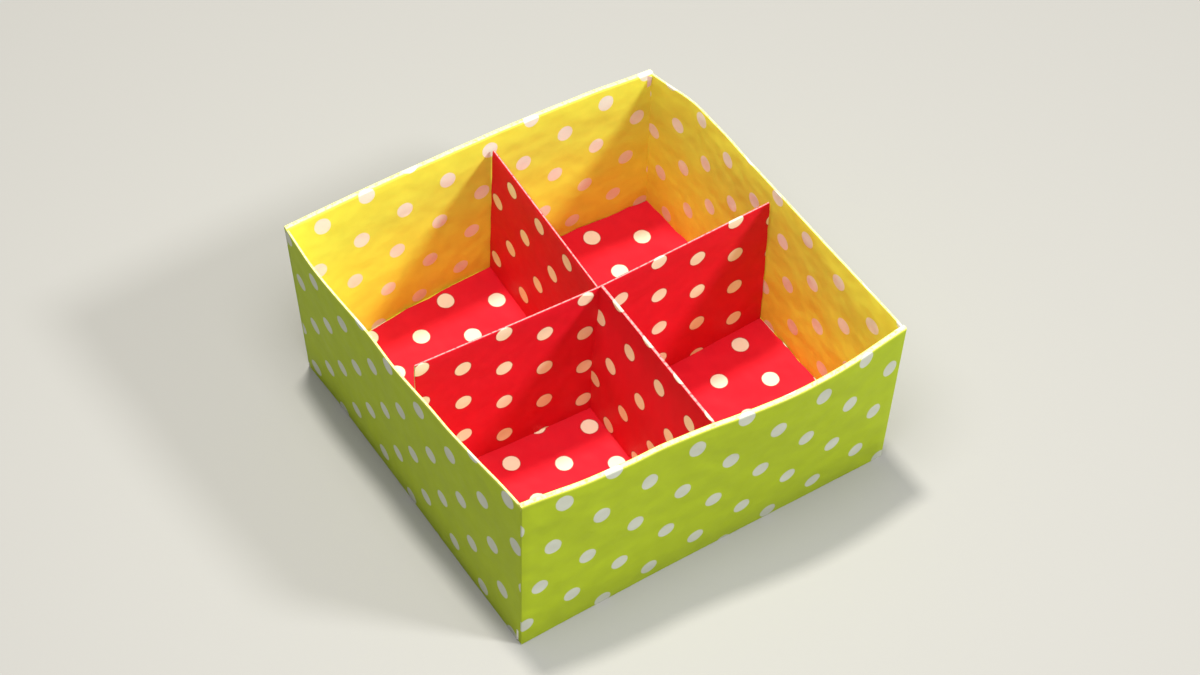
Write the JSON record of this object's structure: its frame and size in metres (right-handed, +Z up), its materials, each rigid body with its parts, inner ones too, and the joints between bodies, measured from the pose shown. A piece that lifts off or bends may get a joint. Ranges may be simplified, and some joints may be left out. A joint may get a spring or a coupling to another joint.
{
  "type": "origami box",
  "caption": "Low square box folded from one sheet of paper, with a pleated paper cross divider standing loose inside it.",
  "frame": {"origin": "centre of the square that the bottom was creased to, on the underside of the box", "axes": "+Z up out of the open top, +X and -X towards the two walls that fold round the corners, +Y and -Y towards the two walls that wrap over them, with the divider's thick pleat towards -Y"},
  "size_m": [0.0567, 0.0555, 0.0265],
  "materials": {
    "box_paper": "matte",
    "divider_paper": "matte"
  },
  "bodies": {
    "root": {"folded_box": "box_paper", "divider": "divider_paper"}
  },
  "joints": []
}
